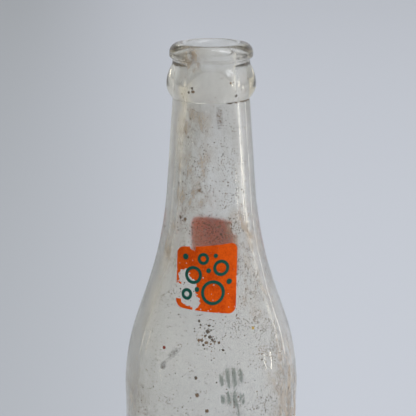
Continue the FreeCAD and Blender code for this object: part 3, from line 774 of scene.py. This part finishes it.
# Labels: side, way it faces, height of its middle, chips and the seed of its chips' ragged edges
LABELS = (
    ("front", FRONT, LABEL_MIDDLE, FRONT_CHIPS, 3.0),
    ("rear", REAR, LABEL_MIDDLE + REAR_LABEL_LIFT, REAR_CHIPS, 17.0),
)
for side, facing, middle, chips, seed in LABELS:
    ground_coat = fire_on(label_ground(middle, chips, seed), 0.0, facing)
    ground = make_piece(f"{side}_ground", ground_coat, orange_enamel)
    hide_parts(f"{side}_label_ground")
    bubbles_coat = fire_on(label_bubbles(middle), ENAMEL, facing)
    bubbles = make_piece(f"{side}_bubbles", bubbles_coat, teal_enamel)
    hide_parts(f"{side}_label_bubbles")

# Rear strokes
# Four slanted strokes of the second enamel, fired to the rear of the print panel. Other bottles have rubbed
# against them in the crate, so only ragged remains of each are left, paler than the enamel of the labels.
STROKE_WIDTH = 1.5
STROKE_HEIGHT = 21.0
STROKE_SLANT = 2.0
STROKE_PITCH = 2.6
STROKE_COUNT = 4
STROKE_OFFSET = 2.2
STROKE_DROP = 0.5
# What is left of the strokes: number from the middle, depth below the head and half depth
STROKE_REMAINS = (
    (0, 4.6, 2.0),
    (1, 3.6, 3.4),
    (2, 3.2, 3.8),
    (3, 2.2, 2.6),
    (0, 11.8, 1.6),
    (1, 11.2, 2.6),
    (2, 11.8, 2.8),
    (3, 10.4, 1.4),
    (1, 17.5, 1.3),
    (2, 17.0, 2.0),
)
# Noise that the rubbing follows: strength, scales along its lean and up, and seed
RUBBING = (
    (0.9, 1.2, 0.2, 31.0),
    (1.1, 1.5, 0.8, 37.0),
    (1.2, 2.6, 0.5, 41.0),
)
RUBBING_LEAN = 0.45
RUBBED_THROUGH = 0.2
WORN_TEAL = (0.110, 0.225, 0.215, 1)
WORN_THIN_TEAL = (0.165, 0.290, 0.275, 1)
WORN_ROUGHNESS = 0.45

flat = bmesh.new()
stroke_top = band_top - BAND - PANEL_EASE - STROKE_DROP
for number in range(STROKE_COUNT):
    foot = -STROKE_OFFSET - number * STROKE_PITCH
    head = foot + STROKE_SLANT
    low = stroke_top - STROKE_HEIGHT
    corners = ((foot - STROKE_WIDTH, low), (foot, low), (head, stroke_top), (head - STROKE_WIDTH, stroke_top))
    flat.faces.new([flat.verts.new(Vector((across, 0, height)) * MM) for across, height in corners])


def rubbed(across, height):
    """True where a stroke has been rubbed away, so that ragged remains of it are left."""
    depth = stroke_top - height
    head = STROKE_SLANT * (1 - depth / STROKE_HEIGHT) - STROKE_OFFSET
    number = (head - across) // STROKE_PITCH
    remains = [(middle, half) for stroke, middle, half in STROKE_REMAINS if stroke == number]
    left = max(1 - ((depth - middle) / half) ** 2 for middle, half in remains)
    lean = across + RUBBING_LEAN * height
    for strength, wide, tall, seed in RUBBING:
        left -= strength * noise_on(lean * wide, height * tall, seed)
    return left < RUBBED_THROUGH


cut_chips(flat, rubbed)
worn_teal = enamel_finish("worn_teal_enamel", WORN_TEAL, WORN_THIN_TEAL, WORN_ROUGHNESS)
strokes = make_piece("rear_strokes", fire_on(flat, 0.0, REAR), worn_teal)
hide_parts("rear_body_strokes")

# Floor
# A plain pale sheet under and behind the bottle. Its colour is a little lighter towards the window: painted
# light, as if the window's light fell on it more there.
FLOOR_RADIUS = 6.0
# The lighter floor colour towards the window is painted light
FLOOR_PAINTED_WINDOW_LIGHT = (0.652, 0.681, 0.742, 1)
FLOOR_AWAY = (0.482, 0.505, 0.536, 1)
FLOOR_SIDES = 64
FLOOR_SLANT = 0.16
FLOOR_CHANGE = (-150, 80)
FLOOR_ROUGHNESS = 0.9
FLOOR_SHEEN = 0.1
sheet = bmesh.new()
bmesh.ops.create_circle(sheet, cap_ends=True, segments=FLOOR_SIDES, radius=FLOOR_RADIUS)
mesh = bpy.data.meshes.new("floor")
sheet.to_mesh(mesh)
sheet.free()
floor = bpy.data.objects.new("floor", mesh)
bpy.context.collection.objects.link(floor)
material, place = begin_finish("pale_floor_painted_light")
split = place.node("SeparateXYZ", {0: place})
# Painted light: the floor's colour turns lighter towards the window, as if the window lit it more there
painted_window_light = (split + split.other("Y") * FLOOR_SLANT).rise(*FLOOR_CHANGE)
tone = painted_window_light.mix(FLOOR_AWAY, FLOOR_PAINTED_WINDOW_LIGHT)
end_finish(place.node("BsdfPrincipled", {"Base Color": tone, "Roughness": FLOOR_ROUGHNESS,
                                         "Specular IOR Level": FLOOR_SHEEN}))
mesh.materials.append(material)

# Camera
# It looks down a little at the bottle's upper half, from slightly to the right of the front label.
CAMERA_DISTANCE = 600.0
CAMERA_SIDE = math.radians(5.2)
CAMERA_RISE = math.radians(12.85)
TARGET_HEIGHT = 143.3
AXIS_RIGHT_OF_CENTRE = 1.03
SENSOR = 36.0
LENS = 160.9


def bearing_to(side, rise):
    """The direction at an angle to the right of the front and an angle above the floor."""
    return Vector((math.sin(side) * math.cos(rise), -math.cos(side) * math.cos(rise), math.sin(rise)))


target = Vector((0, 0, TARGET_HEIGHT))
back = bearing_to(CAMERA_SIDE, CAMERA_RISE)
lens = bpy.data.cameras.new("camera")
lens.lens = LENS
lens.sensor_width = SENSOR
camera = bpy.data.objects.new("camera", lens)
camera.rotation_mode = "QUATERNION"
camera.rotation_quaternion = back.to_track_quat("Z", "Y")
rightwards = camera.rotation_quaternion @ Vector((1, 0, 0))
camera.location = (target + back * CAMERA_DISTANCE - rightwards * AXIS_RIGHT_OF_CENTRE) * MM
bpy.context.collection.objects.link(camera)
bpy.context.scene.camera = camera

# Light
# A soft room: dim on the camera's side, bright and warm at the left, as pale as the floor behind the bottle
# and darker above that. A tall window stands to the right of the front, and three faint strips further round
# draw highlights down the glass.
ROOM_FRONT = (0.32, 0.31, 0.295, 1)
ROOM_LEFT = (0.76, 0.73, 0.65, 1)
ROOM_BACK = (0.47, 0.485, 0.52, 1)
ROOM_SHADE = (0.35, 0.34, 0.315, 1)
CEILING = (0.50, 0.50, 0.50, 1)
# Where one tone gives way to the next, as parts of a direction of length 1
TO_BACK = (-0.7, 0.5)
TO_LEFT = (-0.3, -0.9)
TO_SHADE_BACK = (0.45, 0.7)
TO_SHADE_UP = (0.26, 0.60)
TO_CEILING = (0.70, 0.88)
# Strength at the far left, and how much stronger at the far right
ROOM_STRENGTH = 0.8
ROOM_STRENGTH_RIGHT = 0.6
world = bpy.data.worlds.new("room")
world.use_nodes = True
world.node_tree.nodes.clear()
way = Wire(world.node_tree).node("TexCoord", {}, output="Generated")
split = way.node("SeparateXYZ", {0: way})
up = split.other("Z")
room = split.other("Y").rise(*TO_BACK).mix(ROOM_FRONT, ROOM_BACK)
room = split.rise(*TO_LEFT).mix(room, ROOM_LEFT)
room = (up.rise(*TO_SHADE_UP) * split.other("Y").rise(*TO_SHADE_BACK)).mix(room, ROOM_SHADE)
room = up.rise(*TO_CEILING).mix(room, CEILING)
strength = ROOM_STRENGTH + ROOM_STRENGTH_RIGHT * split.rise(-1, 1)
light = way.node("Background", {"Color": room, "Strength": strength})
light.node("OutputWorld", {"Surface": light})
bpy.context.scene.world = world


def hang_light(name, side, rise, distance, size, power, colour):
    """A flat light of this width and height, at an angle from the camera, that faces the bottle."""
    lamp = bpy.data.lights.new(name, "AREA")
    lamp.shape = "RECTANGLE"
    lamp.size, lamp.size_y = size
    lamp.energy = power
    lamp.color = colour
    light = bpy.data.objects.new(name, lamp)
    way = bearing_to(CAMERA_SIDE + math.radians(side), math.radians(rise))
    light.location = target * MM + way * distance
    light.rotation_mode = "QUATERNION"
    light.rotation_quaternion = way.to_track_quat("Z", "Y")
    bpy.context.collection.objects.link(light)


# Lights: name, angle from the camera, angle above the floor, distance, width and height, power and colour
LIGHTS = (
    ("window", 59, 58, 4.0, (1.2, 4.6), 97, (0.93, 0.957, 1.0)),
    ("right_strip", 121, -4, 0.9, (0.035, 0.165), 0.06, (1.0, 0.94, 0.82)),
    ("left_strip", -114, -4, 0.9, (0.04, 0.13), 0.03, (1.0, 0.90, 0.72)),
    ("low_strip", 88, -5, 0.9, (0.03, 0.12), 0.2, (1.0, 0.95, 0.85)),
)
for row in LIGHTS:
    hang_light(*row)

bpy.context.scene.view_settings.view_transform = "Standard"
